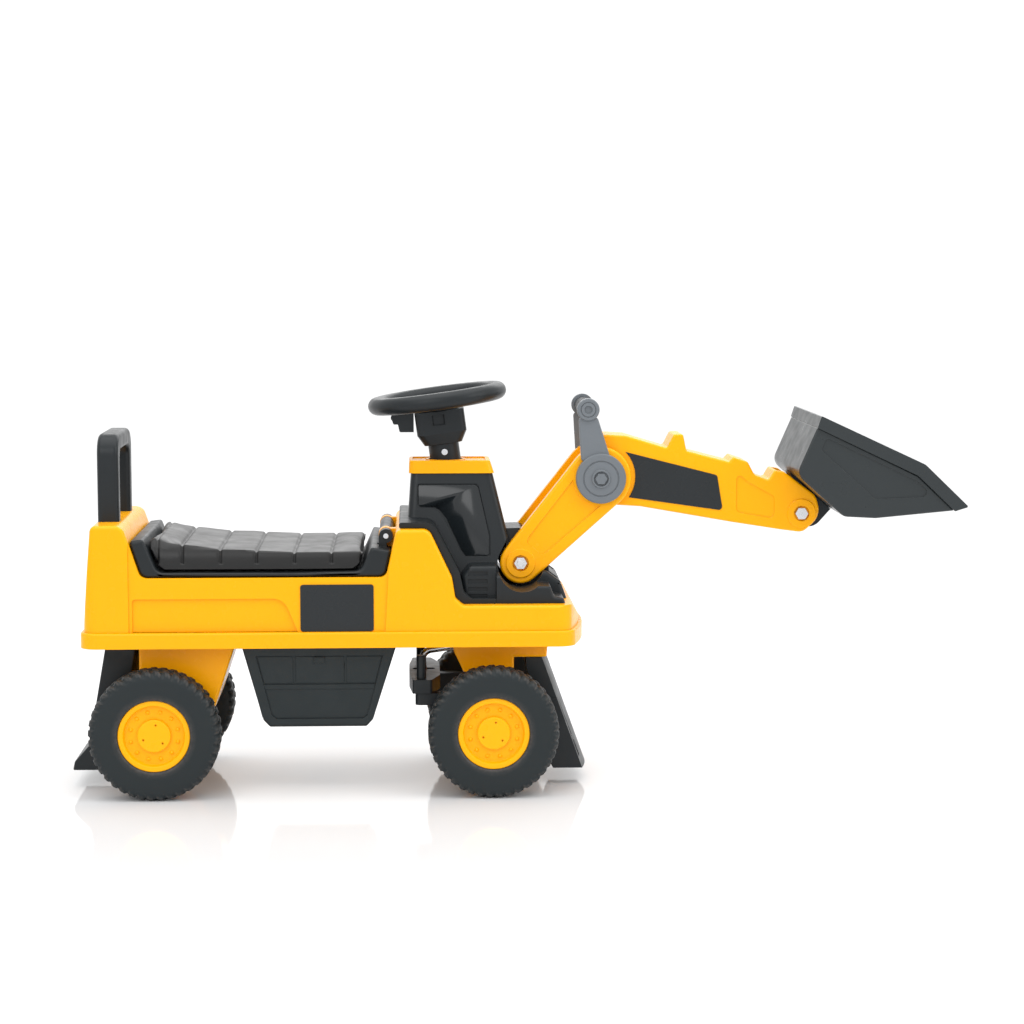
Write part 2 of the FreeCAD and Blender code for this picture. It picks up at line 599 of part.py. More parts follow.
def crank_points():
    """Corners of the bent lower end of the steering rod."""
    bend = FreeCAD.Vector(steer_x(CRANK_Z), 0, CRANK_Z)
    down = FreeCAD.Vector(math.sin(STEER_TILT), 0, -math.cos(STEER_TILT))
    back = FreeCAD.Vector(-math.cos(STEER_TILT), 0, -math.sin(STEER_TILT))
    knee = bend + back * CRANK_R
    return bend, knee, knee + down * 46.0


CRANK_R = 60.0
BEND_R = 12.0


def steering_rod():
    """Steel rod from the steering wheel to the track rod, bent into a crank at its foot."""
    top = on_axis(20)
    bend, knee, foot = crank_points()
    path, start = [], top
    for corner, following in ((bend, knee), (knee, foot)):
        before = (start - corner).normalize()
        after = (following - corner).normalize()
        half = before.getAngle(after) / 2
        reach = BEND_R / math.tan(half)
        middle = (before + after).normalize()
        peak = corner + middle * (BEND_R / math.sin(half) - BEND_R)
        path.append(Part.LineSegment(start, corner + before * reach).toShape())
        path.append(Part.Arc(corner + before * reach, peak, corner + after * reach).toShape())
        start = corner + after * reach
    path.append(Part.LineSegment(start, foot).toShape())
    spine = Part.Wire(path)
    ring = Part.Wire(Part.makeCircle(ROD_R, top, AXIS_UP))
    rod = spine.makePipeShell([ring], True, False)
    return rod.cut(Part.makeCylinder(2.05, 20, on_axis(SCREW_DOWN) + FreeCAD.Vector(0, -4.0, 0),
                                     FreeCAD.Vector(0, -1, 0)))


def column_bush():
    """Black bearing in the body's floor that the steering rod turns in."""
    flange = rod_z(steer_x(TRAY_Z), 0, 16, TRAY_Z - 2.5, TRAY_Z)
    barrel = rod_z(steer_x(TRAY_Z), 0, 8.9, TRAY_Z, TRAY_Z + 10)
    return flange.fuse(barrel).removeSplitter().cut(along_axis(ROD_R + RUN, 200, 320))


def knuckle(side):
    """Black steering knuckle: barrel on the kingpin, boss for the axle, arm to the track rod."""
    y = side * KINGPIN_Y
    barrel = rod_z(FRONT_X, y, 10, 42 + GAP, 113 - GAP)
    boss_span = on_side(side, KINGPIN_Y, TRACK / 2 - WHEEL_W / 2 - 3)
    boss = rod_y(FRONT_X, WHEEL_R, 11, *boss_span)
    pin_x, pin_y = ARM_PIN
    y0, y1 = sorted((side * (pin_y - 7), side * (pin_y + 9)))
    arm = upward([(FRONT_X, y0, 0), (pin_x - 7, y0, 6), (pin_x - 7, y1, 6), (FRONT_X, y1, 0)], 99, 113 - GAP)
    post = rod_z(pin_x, side * pin_y, 5.5, 105, 156)
    block = fuse([barrel, boss, arm, post])
    block = block.cut(rod_z(FRONT_X, y, KINGPIN_R + RUN, 30, 125))
    return block.cut(rod_y(FRONT_X, WHEEL_R, AXLE_R, *on_side(side, KINGPIN_Y + 6, 120)))


def stub_axle(side):
    """Steel axle of a front wheel with its end cap."""
    rod = rod_y(FRONT_X, WHEEL_R, AXLE_R, *on_side(side, KINGPIN_Y + 6, TRACK / 2 + 12))
    cap = rod_y(FRONT_X, WHEEL_R, 8.5, *on_side(side, TRACK / 2 + 8, TRACK / 2 + 14))
    return fuse([rod, cap])


def track_rod():
    """Black cross link between the two steering arms, with the slot for the crank."""
    pin_x, half = ARM_PIN[0], ARM_PIN[1] + 12
    corners = [(pin_x - 14, -30), (pin_x - 10, -half), (pin_x + 12, -half), (pin_x + 22, -44),
               (pin_x + 22, 44), (pin_x + 12, half), (pin_x - 10, half), (pin_x - 14, 30)]
    plate = upward([(x, y, 3) for x, y in corners], 113, 129)
    slot = upward(rounded(-122, -95, -ROD_R - 1.2, ROD_R + 1.2, 5.0), 105, 140)
    plate = plate.cut(slot)
    for s in (1, -1):
        plate = plate.cut(rod_z(pin_x, s * ARM_PIN[1], 5.5 + RUN, 105, 140))
    return plate


# ---------------------------------------------------------------- wheels
def around_y(points, x, z, y):
    """Solid of revolution about a Y axis from (radius, distance along Y) corners."""
    face = Part.Face(outline([(x + r, y + d, k) for r, d, k in points], xy, z))
    return face.revolve(FreeCAD.Vector(x, 0, z), FreeCAD.Vector(0, 1, 0), 360)


HUB_R = 41.0
WHEELS = {"front_left": (FRONT_X, 1), "front_right": (FRONT_X, -1),
          "rear_left": (REAR_X, 1), "rear_right": (REAR_X, -1)}


def tyre(x, side):
    """Hollow moulded tyre, open towards the hub."""
    w = WHEEL_W / 2
    points = [(HUB_R, -w + 1, 1), (WHEEL_R - 9, -w, 6), (WHEEL_R, -w + 7, 3), (WHEEL_R, w - 7, 3),
              (WHEEL_R - 9, w, 6), (HUB_R, w - 1, 1), (HUB_R, w - 6, 0), (WHEEL_R - 12, w - 6, 3),
              (WHEEL_R - 12, -w + 6, 3), (HUB_R, -w + 6, 0)]
    return around_y(points, x, WHEEL_R, side * TRACK / 2)


def hub(x, side):
    """Yellow wheel centre: barrel, dished web with twelve bumps, and a bored boss."""
    w = WHEEL_W / 2
    out = side
    points = [(AXLE_R + RUN, -w + 2, 0), (AXLE_R + RUN, 7.5, 0), (11, 7.5, 0), (11, 11, 0),
              (33.5, 11, 1), (35, 17, 1), (HUB_R, 17.5, 1), (HUB_R, -w + 3, 0),
              (HUB_R - 3.5, -w + 3, 0), (HUB_R - 3.5, 7, 2), (12, 7, 2), (12, -w + 2, 0)]
    face = [(r, out * d, k) for r, d, k in points]
    wheel = around_y(face, x, WHEEL_R, side * TRACK / 2)
    bumps = []
    for k in range(12):
        turn = math.radians(30 * k + 15)
        place = FreeCAD.Vector(x + 27.5 * math.cos(turn), side * (TRACK / 2 + 10.6),
                               WHEEL_R + 27.5 * math.sin(turn))
        ball = Part.makeSphere(2.4, place)
        bumps.append(ball.common(rod_y(place.x, place.z, 4, *on_side(side, TRACK / 2 + 10, TRACK / 2 + 14))))
    return fuse([wheel] + bumps)


def hub_cap(x, side):
    """Yellow centre cap with three small screw holes."""
    y = TRACK / 2
    disc = rod_y(x, WHEEL_R, 18.9, *on_side(side, y + 11, y + 16))
    edge_y = side * (y + 16)
    disc = soften(disc, 1.5, lambda p: near(p.y, edge_y))
    disc = disc.cut(rod_y(x, WHEEL_R, 10.0, *on_side(side, y + 10, y + 14.4)))
    for turn in (80, 200, 320):
        a = math.radians(turn)
        disc = disc.cut(rod_y(x + 12.8 * math.cos(a), WHEEL_R + 12.8 * math.sin(a), 1.2,
                              *on_side(side, y + 13, y + 17)))
    return disc


# ---------------------------------------------------------------- seat
def seat_base():
    """Black moulded lid under the seat pad; it tips up about the hinge at its front."""
    lid = across([(-442, 295, 3), (-428.4, DECK_Z + GAP, 11), (-153, DECK_Z + GAP, 10),
                  (-146.4, 283, 2), (-168.6, 287, 3), (-181, 259.6, 11), (-256, 258.2, 0),
                  (-410.4, 258.8, 11), (-426.4, 297, 3)], -108, 108)
    lid = soften(lid, 4.0, lambda p: near(abs(p.y), 108))
    x0, x1, half = BIN_OPENING
    lid = lid.cut(box(x0, x1, -half, half, DECK_Z - 1, DECK_Z + 2.4))
    for middle in (-60.0, 60.0):
        lid = lid.cut(box(HINGE_X - 10, -130, middle - 7.6, middle + 7.6, 270, 310))
    for y0, y1 in ((-83, -67.4), (-52.6, 52.6), (67.4, 83)):
        eye = rod_y(HINGE_X, HINGE_Z, 8.0, y0, y1)
        web = across([(HINGE_X - 9, 272, 0), (HINGE_X - 8, HINGE_Z, 0), (HINGE_X, HINGE_Z, 0),
                      (-150, 272, 0)], y0, y1)
        lid = lid.fuse([eye, web])
    lid = lid.removeSplitter()
    return lid.cut(rod_y(HINGE_X, HINGE_Z, 3.0 + RUN, -90, 90))


def seat_pad():
    """Padded seat cushion, plain outer form."""
    pad = across([(-424.4, 293, 3), (-409.4, 259.6, 11), (-256, 258.8, 0), (-182.4, 260.4, 11),
                  (-172, 284, 4), (-181, 283.2, 8), (-256, 283, 60), (-340, 287, 60), (-400, 294, 10),
                  (-416, 299.5, 3)], -101.5, 101.5)
    ridge = forward([(-101.5, 255, 0), (-100.5, 279, 4), (-88, 301, 10), (88, 301, 10),
                     (100.5, 279, 4), (101.5, 255, 0)], -450, -140)
    return pad.common(ridge)


def seat_hinge_pin():
    """Steel pin through the knuckles at the front of the seat."""
    return rod_y(HINGE_X, HINGE_Z, 3.0, -84, 84)


# ---------------------------------------------------------------- arm and boom
def arm_plate(side):
    """One of the two yellow side plates of the lower arm."""
    y0, y1 = on_side(side, PLATE_IN, PLATE_OUT)
    plate = hull_of_two(LIFT_X, LIFT_Z, 24.0, ELBOW_X, ELBOW_Z, 36.0, y0, y1)
    face_y = side * PLATE_OUT
    plate = soften(plate, 3.0, lambda p: near(p.y, face_y))
    recess = hull_of_two(LIFT_X + 22, LIFT_Z + 24, 14.0, ELBOW_X - 16, ELBOW_Z - 17, 22.0,
                         *on_side(side, PLATE_OUT - 1.6, PLATE_OUT + 2))
    recess = recess.cut(rod_y(LIFT_X, LIFT_Z, 24.0, -60, 60)).cut(rod_y(ELBOW_X, ELBOW_Z, 32.0, -60, 60))
    plate = plate.cut(recess)
    hollow = hull_of_two(LIFT_X + 20, LIFT_Z + 21, 16.0, ELBOW_X - 20, ELBOW_Z - 21, 22.0,
                         *on_side(side, PLATE_IN - 1, PLATE_OUT - 5))
    hollow = hollow.cut(rod_y(LIFT_X, LIFT_Z, 16.0, -60, 60)).cut(rod_y(ELBOW_X, ELBOW_Z, 26.0, -60, 60))
    plate = plate.cut(hollow)
    boss = rod_y(LIFT_X, LIFT_Z, 17.0, *on_side(side, PLATE_OUT - 1, PLATE_OUT + 1.6))
    boss = soften(boss, 0.8, lambda p: near(p.y, side * (PLATE_OUT + 1.6)))
    plate = fuse([plate, boss])
    seat = rod_y(LIFT_X, LIFT_Z, 9.4, *on_side(side, PLATE_OUT - 3, PLATE_OUT + 3))
    plate = plate.cut(seat).cut(rod_y(LIFT_X, LIFT_Z, BOLT_R + RUN, -60, 60))
    return plate.cut(rod_y(ELBOW_X, ELBOW_Z, ELBOW_HUB_R + RUN, -60, 60))


ELBOW_HUB_R = 12.0


def arm_brace():
    """Yellow web that ties the two plates of the lower arm together."""
    lean = math.atan2(ELBOW_Z - LIFT_Z, ELBOW_X - LIFT_X)
    bar = box(40, 82, -PLATE_IN, PLATE_IN, 12, 20)
    bar.rotate(FreeCAD.Vector(0, 0, 0), FreeCAD.Vector(0, 1, 0), -math.degrees(lean))
    bar.translate(FreeCAD.Vector(LIFT_X, 0, LIFT_Z))
    return bar


def arm_pivot_bolt():
    """Steel bolt through the hood's lug and both plates of the lower arm, with its nut."""
    shank = rod_y(LIFT_X, LIFT_Z, BOLT_R, -PLATE_OUT - 3, PLATE_OUT + 3)
    head = hexagon_y(LIFT_X, LIFT_Z, 13.0, PLATE_OUT - 2.6, PLATE_OUT + 3)
    nut = hexagon_y(LIFT_X, LIFT_Z, 13.0, -PLATE_OUT - 2.0, -PLATE_OUT + 2.6)
    end = rod_y(LIFT_X, LIFT_Z, BOLT_R, -PLATE_OUT - 4.5, -PLATE_OUT)
    return fuse([shank, head, nut, end])


BOOM_SIDE = [(103, 408.5, 6), (128, 407, 10), (176, 392.5, 3), (184, 408.5, 4), (195, 408.5, 3),
             (199, 389, 3), (249, 376, 2), (254, 381.5, 2), (271, 376, 5), (279, 361, 5),
             (296, 354, 4), (303, 366, 3), (314, 364, 4), (352, 336, 16), (358, 312, 22),
             (337, 292.4, 14), (310, 296, 10), (253, 305, 30), (145, 324, 20), (97, 327, 26),
             (64, 340, 26), (68, 372, 24)]


def boom_half(side):
    """One half of the yellow boom, split along the middle."""
    y0, y1 = on_side(side, 0, BOOM_W)
    half = across(BOOM_SIDE, y0, y1)
    face_y = side * BOOM_W
    half = soften(half, 2.5, lambda p: near(p.y, face_y))
    inner = Part.Face(outline(BOOM_SIDE)).makeOffset2D(-3.5)
    inner = inner.extrude(FreeCAD.Vector(0, side * (BOOM_W - 4), 0))
    inner = inner.cut(rod_y(ELBOW_X, ELBOW_Z, 16, -60, 60)).cut(box(292, 380, -60, 60, 280, 380))
    half = half.cut(inner)
    fork = across([(296, 280, 0), (296, 345, 8), (312, 380, 0), (380, 380, 0), (380, 280, 0)],
                  *on_side(side, -1, FORK_W))
    half = half.cut(fork)
    shallow = across([(258, 364, 4), (272, 352, 8), (303, 335, 6), (303, 309, 6), (258, 317, 6)],
                     *on_side(side, BOOM_W - 1.2, BOOM_W + 1))
    half = half.cut(shallow)
    ring = rod_y(WRIST_X, WRIST_Z, 17.0, *on_side(side, BOOM_W - 1, BOOM_W + 1.6))
    ring = soften(ring, 0.8, lambda p: near(p.y, side * (BOOM_W + 1.6)))
    half = fuse([half, ring])
    half = half.cut(rod_y(WRIST_X, WRIST_Z, 9.0, *on_side(side, BOOM_W - 1.5, BOOM_W + 3)))
    half = half.cut(rod_y(WRIST_X, WRIST_Z, BOLT_R, -60, 60))
    return half.cut(rod_y(ELBOW_X, ELBOW_Z, BOLT_R, -60, 60))


def boom_plate(side):
    """Thin black plate on the side of the boom, left blank, hollowed round the elbow disc."""
    y0, y1 = on_side(side, BOOM_W, BOOM_W + 1.0)
    plate = across([(120, 390, 4), (235, 360.5, 4), (242, 319, 4), (124, 336, 4)], y0, y1)
    return plate.cut(rod_y(ELBOW_X, ELBOW_Z, 42.0, -60, 60))


def lever(side):
    """Grey elbow disc with the upright lever cast on it and a hub through the arm plate."""
    y0, y1 = on_side(side, LEVER_IN, LEVER_OUT - 3)
    stem = across([(74, 380, 4), (71, 430, 4), (93, 430, 4), (107, 386, 4), (98, 372, 4)], y0, y1)
    stem = soften(stem, 1.5, lambda p: near(p.y, side * (LEVER_OUT - 3)))
    disc = rod_y(ELBOW_X, ELBOW_Z, 29.0, *on_side(side, LEVER_IN, LEVER_OUT))
    disc = soften(disc, 1.5, lambda p: near(p.y, side * LEVER_OUT))
    head = rod_y(GRIP_X, GRIP_Z, 13.0, *on_side(side, LEVER_IN, LEVER_OUT))
    head = soften(head, 1.5, lambda p: near(p.y, side * LEVER_OUT))
    through = rod_y(ELBOW_X, ELBOW_Z, ELBOW_HUB_R, *on_side(side, BOOM_W, LEVER_IN))
    piece = fuse([stem, disc, head, through])
    for x, z, outer, inner in ((ELBOW_X, ELBOW_Z, 21.0, 19.4), (GRIP_X, GRIP_Z, 9.0, 8.0)):
        ring = rod_y(x, z, outer, *on_side(side, LEVER_OUT - 0.9, LEVER_OUT + 1))
        piece = piece.cut(ring.cut(rod_y(x, z, inner, -60, 60)))
    bolt_face = rod_y(ELBOW_X, ELBOW_Z, 10.8, *on_side(side, LEVER_OUT - 1, LEVER_OUT + 1.8))
    bolt_face = soften(bolt_face, 0.8, lambda p: near(p.y, side * (LEVER_OUT + 1.8)))
    piece = fuse([piece, bolt_face])
    sockets = [(GRIP_X, GRIP_Z, 4.6, LEVER_OUT - 2), (ELBOW_X, ELBOW_Z, 8.6, LEVER_OUT - 1)]
    for x, z, r, depth in sockets:
        piece = piece.cut(rod_y(x, z, r, *on_side(side, depth, LEVER_OUT + 4)))
    piece = piece.cut(rod_y(ELBOW_X, ELBOW_Z, BOLT_R, -60, 60))
    return piece


def lever_grip():
    """Dark ribbed bar between the two levers, for the rider's hands."""
    half = LEVER_IN
    grip = rod_y(GRIP_X, GRIP_Z, 9.5, -half, half)
    for k in range(-5, 6):
        y = k * 7.5
        ring = rod_y(GRIP_X, GRIP_Z, 10.5, y - 1, y + 1).cut(rod_y(GRIP_X, GRIP_Z, 8.7, y - 1, y + 1))
        grip = grip.cut(ring)
    return grip


def elbow_bolt():
    """Steel bolt through the boom and both levers."""
    shank = rod_y(ELBOW_X, ELBOW_Z, BOLT_R, -LEVER_OUT + 1, LEVER_OUT - 1)
    ends = [hexagon_y(ELBOW_X, ELBOW_Z, 12.0, *on_side(s, LEVER_OUT - 1, LEVER_OUT + 2.6)) for s in (1, -1)]
    return fuse([shank] + ends)


def wrist_bolt():
    """Steel bolt through the boom's fork that the bucket turns on."""
    shank = rod_y(WRIST_X, WRIST_Z, BOLT_R, -BOOM_W - 1, BOOM_W + 1)
    ends = [hexagon_y(WRIST_X, WRIST_Z, 13.0, *on_side(s, BOOM_W - 1.5, BOOM_W + 3.4)) for s in (1, -1)]
    return fuse([shank] + ends)


# ---------------------------------------------------------------- bucket
def bucket():
    """Dark grey bucket: curved shell, two side walls and the band round its mouth."""
    outer = [(341.5, 421, 2), (318, 367, 14), (373, 318, 12), (410, 316, 20), (501, 324.5, 1),
             (458, 365, 14)]
    body = across(outer, -BUCKET_W + 3, BUCKET_W - 3)
    body = soften(body, 2.0, lambda p: near(abs(p.y), BUCKET_W - 3) and p.z < 420)
    band = across([(345.5, 434, 1.5), (341, 420.5, 1.5), (458, 365, 14), (501, 324, 1.5), (517, 329, 1.5),
                   (466, 378, 16)], -BUCKET_W, BUCKET_W)
    cavity = across([(348, 440, 0), (345.5, 418, 0), (324.5, 368, 10), (375.5, 322, 9), (410, 320, 17),
                     (496, 327.5, 0), (512, 330.5, 0), (470, 390, 0)], -BUCKET_W + 6.5, BUCKET_W - 6.5)
    shell = fuse([body, band]).cut(cavity)
    for s in (1, -1):
        recess = [(352, 409, 4), (346, 395, 4), (409, 338, 10), (478, 341, 6), (457, 359, 10)]
        shell = shell.cut(across(recess, *on_side(s, BUCKET_W - 4.4, BUCKET_W + 1)))
    return shell


def bucket_bracket():
    """Black lug on the back of the bucket, held in the boom's fork."""
    half = FORK_W - GAP
    lug = across([(322.5, 362.4, 0), (327, 350, 0), (316, 330, 16), (318, 300, 17), (352, 298, 17),
                  (371, 319.2, 0)], -half, half)
    return lug.cut(rod_y(WRIST_X, WRIST_Z, BOLT_R + RUN, -40, 40))


# ---------------------------------------------------------------- write every piece
def build():
    nodes = {
        "chassis_shell": chassis_shell(), "chassis_tray": chassis_tray(),
        "chassis_screws": chassis_screws(), "storage_bin": storage_bin(),
        "backrest_handle": backrest_handle(), "rear_leg": rear_leg(), "front_leg": front_leg(),
        "kingpins": kingpins(), "front_blade": front_blade(), "rear_stabiliser": rear_stabiliser(),
        "rear_axle": rear_axle(), "axle_retainers": axle_retainers(),
        "side_plate_left": side_plate(1), "side_plate_right": side_plate(-1),
        "cab_housing": cab_housing(), "cab_cap": cab_cap(), "hood": hood(),
        "steering_wheel": steering_wheel(), "horn_button": horn_button(),
        "steering_housing": steering_housing(), "switch_pod": switch_pod(),
        "steering_sleeve": steering_sleeve(), "steering_screw": steering_screw(),
        "steering_rod": steering_rod(), "column_bush": column_bush(), "track_rod": track_rod(),
        "seat_base": seat_base(), "seat_pad": seat_pad(), "seat_hinge_pin": seat_hinge_pin(),
        "arm_brace": arm_brace(), "arm_pivot_bolt": arm_pivot_bolt(),
        "lever_grip": lever_grip(), "elbow_bolt": elbow_bolt(), "wrist_bolt": wrist_bolt(),
        "bucket": bucket(), "bucket_bracket": bucket_bracket(),
    }
    for name, side in (("left", 1), ("right", -1)):
        nodes["knuckle_" + name] = knuckle(side)
        nodes["stub_axle_" + name] = stub_axle(side)
        nodes["arm_plate_" + name] = arm_plate(side)
        nodes["boom_" + name] = boom_half(side)
        nodes["boom_plate_" + name] = boom_plate(side)
        nodes["lever_" + name] = lever(side)
    for name, (x, side) in WHEELS.items():
        nodes["tyre_" + name] = tyre(x, side)
        nodes["hub_" + name] = hub(x, side)
        nodes["hub_cap_" + name] = hub_cap(x, side)
    return nodes


os.makedirs("parts", exist_ok=True)
for node_name, node_shape in build().items():
    print(node_name, node_shape.isValid(), len(node_shape.Solids), round(node_shape.Volume / 1000, 1))
    node_shape.exportStep("parts/" + node_name + ".step")
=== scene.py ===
"""Looks of the ride-on digger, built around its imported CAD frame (metres)."""

import json
import math

import bmesh
import bpy
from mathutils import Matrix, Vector


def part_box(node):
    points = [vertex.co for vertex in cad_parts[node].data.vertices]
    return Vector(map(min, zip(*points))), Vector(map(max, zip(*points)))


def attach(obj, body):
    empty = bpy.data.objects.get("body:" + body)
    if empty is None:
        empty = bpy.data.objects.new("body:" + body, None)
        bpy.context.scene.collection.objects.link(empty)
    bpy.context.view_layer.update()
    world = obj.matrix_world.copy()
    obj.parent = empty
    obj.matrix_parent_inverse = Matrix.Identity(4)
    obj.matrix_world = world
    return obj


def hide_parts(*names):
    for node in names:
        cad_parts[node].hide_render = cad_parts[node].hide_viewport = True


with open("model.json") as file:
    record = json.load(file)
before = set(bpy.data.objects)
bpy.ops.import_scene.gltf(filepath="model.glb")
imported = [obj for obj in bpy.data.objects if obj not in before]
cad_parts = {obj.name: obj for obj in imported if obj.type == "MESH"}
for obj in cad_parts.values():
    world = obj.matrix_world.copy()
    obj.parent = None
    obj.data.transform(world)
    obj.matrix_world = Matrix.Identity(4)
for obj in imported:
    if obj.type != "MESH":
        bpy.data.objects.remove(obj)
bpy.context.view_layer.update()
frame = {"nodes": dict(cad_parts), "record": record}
NODES = frame["nodes"]
CORNERS = ("front_left", "front_right", "rear_left", "rear_right")

# Tyres: radii and half widths in metres.
HUB_R = 0.0413  # inside of the tyre, on the hub
SIDEWALL_R = 0.05  # the sidewall is drawn in beyond this radius
SHOULDER_R = 0.066  # grooves cut into the side beyond this radius
CROWN_R = 0.0735  # grooves have their full depth beyond this radius
TREAD_R = 0.0749  # the tyre's own radius
TYRE_HALF = 0.0205
BEAD_HALF = 0.0190  # half width on the hub
SIDE_START = 0.014  # farther from the middle than this, a point is on the side
SIDE_CUT = 0.0009  # how far a groove goes into the side
SIDE_SLIM = 0.0007  # how far the sidewall lies behind the lugs
SHOULDER_SHARE = 0.6  # depth of a groove on the shoulder, as a share of LUG_DEPTH

# Lugs: two staggered rows of slanted blocks, with a zigzag groove between them.
LUGS = 40
LUG_STEPS = 9  # points round the wheel for each lug
LUG_DEPTH = 0.0020
LUG_SLANT = 0.55  # in pitches, from the middle to the side
LUG_WAVE = 0.05  # unevenness of the lugs' long edges, in pitches
GROOVE_HALF, GROOVE_RAMP = 0.20, 0.12  # in pitches
MIDDLE_HALF, MIDDLE_RAMP, MIDDLE_SWAY = 0.07, 0.06, 0.10  # in half widths
LUG_END_R = 0.0690  # radius at which a lug ends on the side
LUG_END_JAG, LUG_END_FINE_JAG, FINE_JAG_RATE = 0.0012, 0.0005, 2.3
CUT_RAMP, SIDE_RAMP = 0.0016, 0.0012

# Seat cushion: channels across it and the two ends of its top, by x.
SEAMS = (-0.383, -0.340, -0.299, -0.256, -0.214)
SEAT_ENDS = (-0.4110, -0.1790)
SEAM_DEPTH, SEAM_WIDTH = 0.0026, 0.0016
END_DEPTH, END_WIDTH = 0.0018, 0.0018
LEAST_PRESS = 0.00002  # shallower than this, a point isn't moved
CHANNEL_FOOT = 0.268  # the channels end at this height
CUSHION_VOXEL = 0.0042
CUSHION_INSET = 0.0022  # how far the cover is drawn in before it swells
SWELL_CAP = 0.0042  # longest way that a point may swell
SEAM_HOLD = 0.0032  # half width of the strip held along a seam
BASE_HOLD = 0.005  # height of the strip held at the base
PRESSURE = 4.0
CLOTH_FRAMES = 20

# Leaning sides of the cab and the tub: half width at the foot, then lean per rise.
CAB_HALF, CAB_FOOT, CAB_LEAN, CAB_RISE = 0.0580, 0.220, 0.029, 0.144
WINDOW_RECESS = 0.0018
TUB_HALF, TUB_FOOT, TUB_LEAN, TUB_RISE = 0.079, 0.075, 0.010, 0.098
RELIEF_ROOT = -0.0008  # the relief starts this far inside the tub's wall

# Studio: name, place, aim, size and power of each softbox, then world and camera.
SOFTBOXES = (
    ("top_box", (0.0, -0.3, 2.4), (0, 0, 0.2), (3.2, 2.2), 40),
    ("front_box", (-1.4, -3.2, 1.9), (0, 0, 0.25), (2.4, 1.6), 26),
    ("right_box", (2.6, -1.2, 1.5), (0.2, 0, 0.3), (1.6, 1.6), 17),
    ("back_box", (0.4, 2.4, 1.8), (0.1, 0, 0.3), (2.6, 1.4), 22),
)
WORLD_STRENGTH = 1.12
FLOOR_REACH = 60.0
CAMERA_PLACE = (-0.12314, -2.80614, 0.61441)
CAMERA_DOWN, CAMERA_RIGHT = 6.0819, 2.4296  # degrees: below level, right of +Y
SENSOR_WIDTH = 36.0
FOCAL_LENGTH = 84.14
CLIP_END = 50.0


# ---------------------------------------------------------------- materials
def tree(name):
    """New material with a principled shader: material, nodes, links and shader."""
    mat = bpy.data.materials.new(name)
    mat.use_nodes = True
    nodes, links = mat.node_tree.nodes, mat.node_tree.links
    nodes.clear()
    out = nodes.new("ShaderNodeOutputMaterial")
    shader = nodes.new("ShaderNodeBsdfPrincipled")
    links.new(shader.outputs["BSDF"], out.inputs["Surface"])
    return mat, nodes, links, shader


def noise(nodes, links, scale, detail=2.0, roughness=0.5):
    """Noise in object space."""
    place = nodes.new("ShaderNodeTexCoord")
    tex = nodes.new("ShaderNodeTexNoise")
    tex.inputs["Scale"].default_value = scale
    tex.inputs["Detail"].default_value = detail
    tex.inputs["Roughness"].default_value = roughness
    links.new(place.outputs["Object"], tex.inputs["Vector"])
    return tex.outputs["Fac"]


def ranged(nodes, links, source, low, high, start=0.3, end=0.7):
    """The source value mapped from start..end to low..high."""
    span = nodes.new("ShaderNodeMapRange")
    span.inputs["From Min"].default_value = start
    span.inputs["From Max"].default_value = end
    span.inputs["To Min"].default_value = low
    span.inputs["To Max"].default_value = high
    links.new(source, span.inputs["Value"])
    return span.outputs["Result"]


def mixed(nodes, links, fac, a, b):
    """Mix of two colours, each a tuple or a socket, by the factor's socket."""
    mix = nodes.new("ShaderNodeMix")
    mix.data_type = "RGBA"
    links.new(fac, mix.inputs["Factor"])
    for socket, value in ((mix.inputs["A"], a), (mix.inputs["B"], b)):
        if isinstance(value, bpy.types.NodeSocket):
            links.new(value, socket)
        else:
            socket.default_value = (*value, 1.0)
    return mix.outputs["Result"]


def scaled(colour, factor):
    """Colour made darker or lighter, none of its parts above 1."""
    return tuple(min(1.0, c * factor) for c in colour)


def bump(height, strength, depth):
    """One layer of bumps: height socket, strength, and depth in metres."""
    return height, strength, depth


def bumped(nodes, links, shader, bumps, edge=0.0008):
    """Soft moulded edges of the given radius, with layers of bumps over them."""
    bevel = nodes.new("ShaderNodeBevel")
    bevel.samples = 6
    bevel.inputs["Radius"].default_value = edge
    normal = bevel.outputs["Normal"]
    for height, strength, depth in bumps:
        layer = nodes.new("ShaderNodeBump")
        layer.inputs["Strength"].default_value = strength
        layer.inputs["Distance"].default_value = depth
        links.new(height, layer.inputs["Height"])
        links.new(normal, layer.inputs["Normal"])
        normal = layer.outputs["Normal"]
    links.new(normal, shader.inputs["Normal"])


def moulded(name, colour, *, rough, grain, vary, specular):
    """Moulded plastic: fine grain, slight flow marks, uneven gloss."""
    mat, nodes, links, shader = tree(name)
    flow = noise(nodes, links, scale=14.0, detail=3.0)
    fine = noise(nodes, links, scale=1900.0)
    broad = noise(nodes, links, scale=55.0)
    tone = mixed(nodes, links, flow, scaled(colour, 1 - vary), scaled(colour, 1 + vary))
    gloss = ranged(nodes, links, broad, low=rough * 0.85, high=rough * 1.2)
    links.new(tone, shader.inputs["Base Color"])
    links.new(gloss, shader.inputs["Roughness"])
    shader.inputs["Specular IOR Level"].default_value = specular
    bumped(nodes, links, shader, [
        bump(fine, strength=grain, depth=0.00012),
        bump(flow, strength=0.03, depth=0.0008),
    ])
    return mat


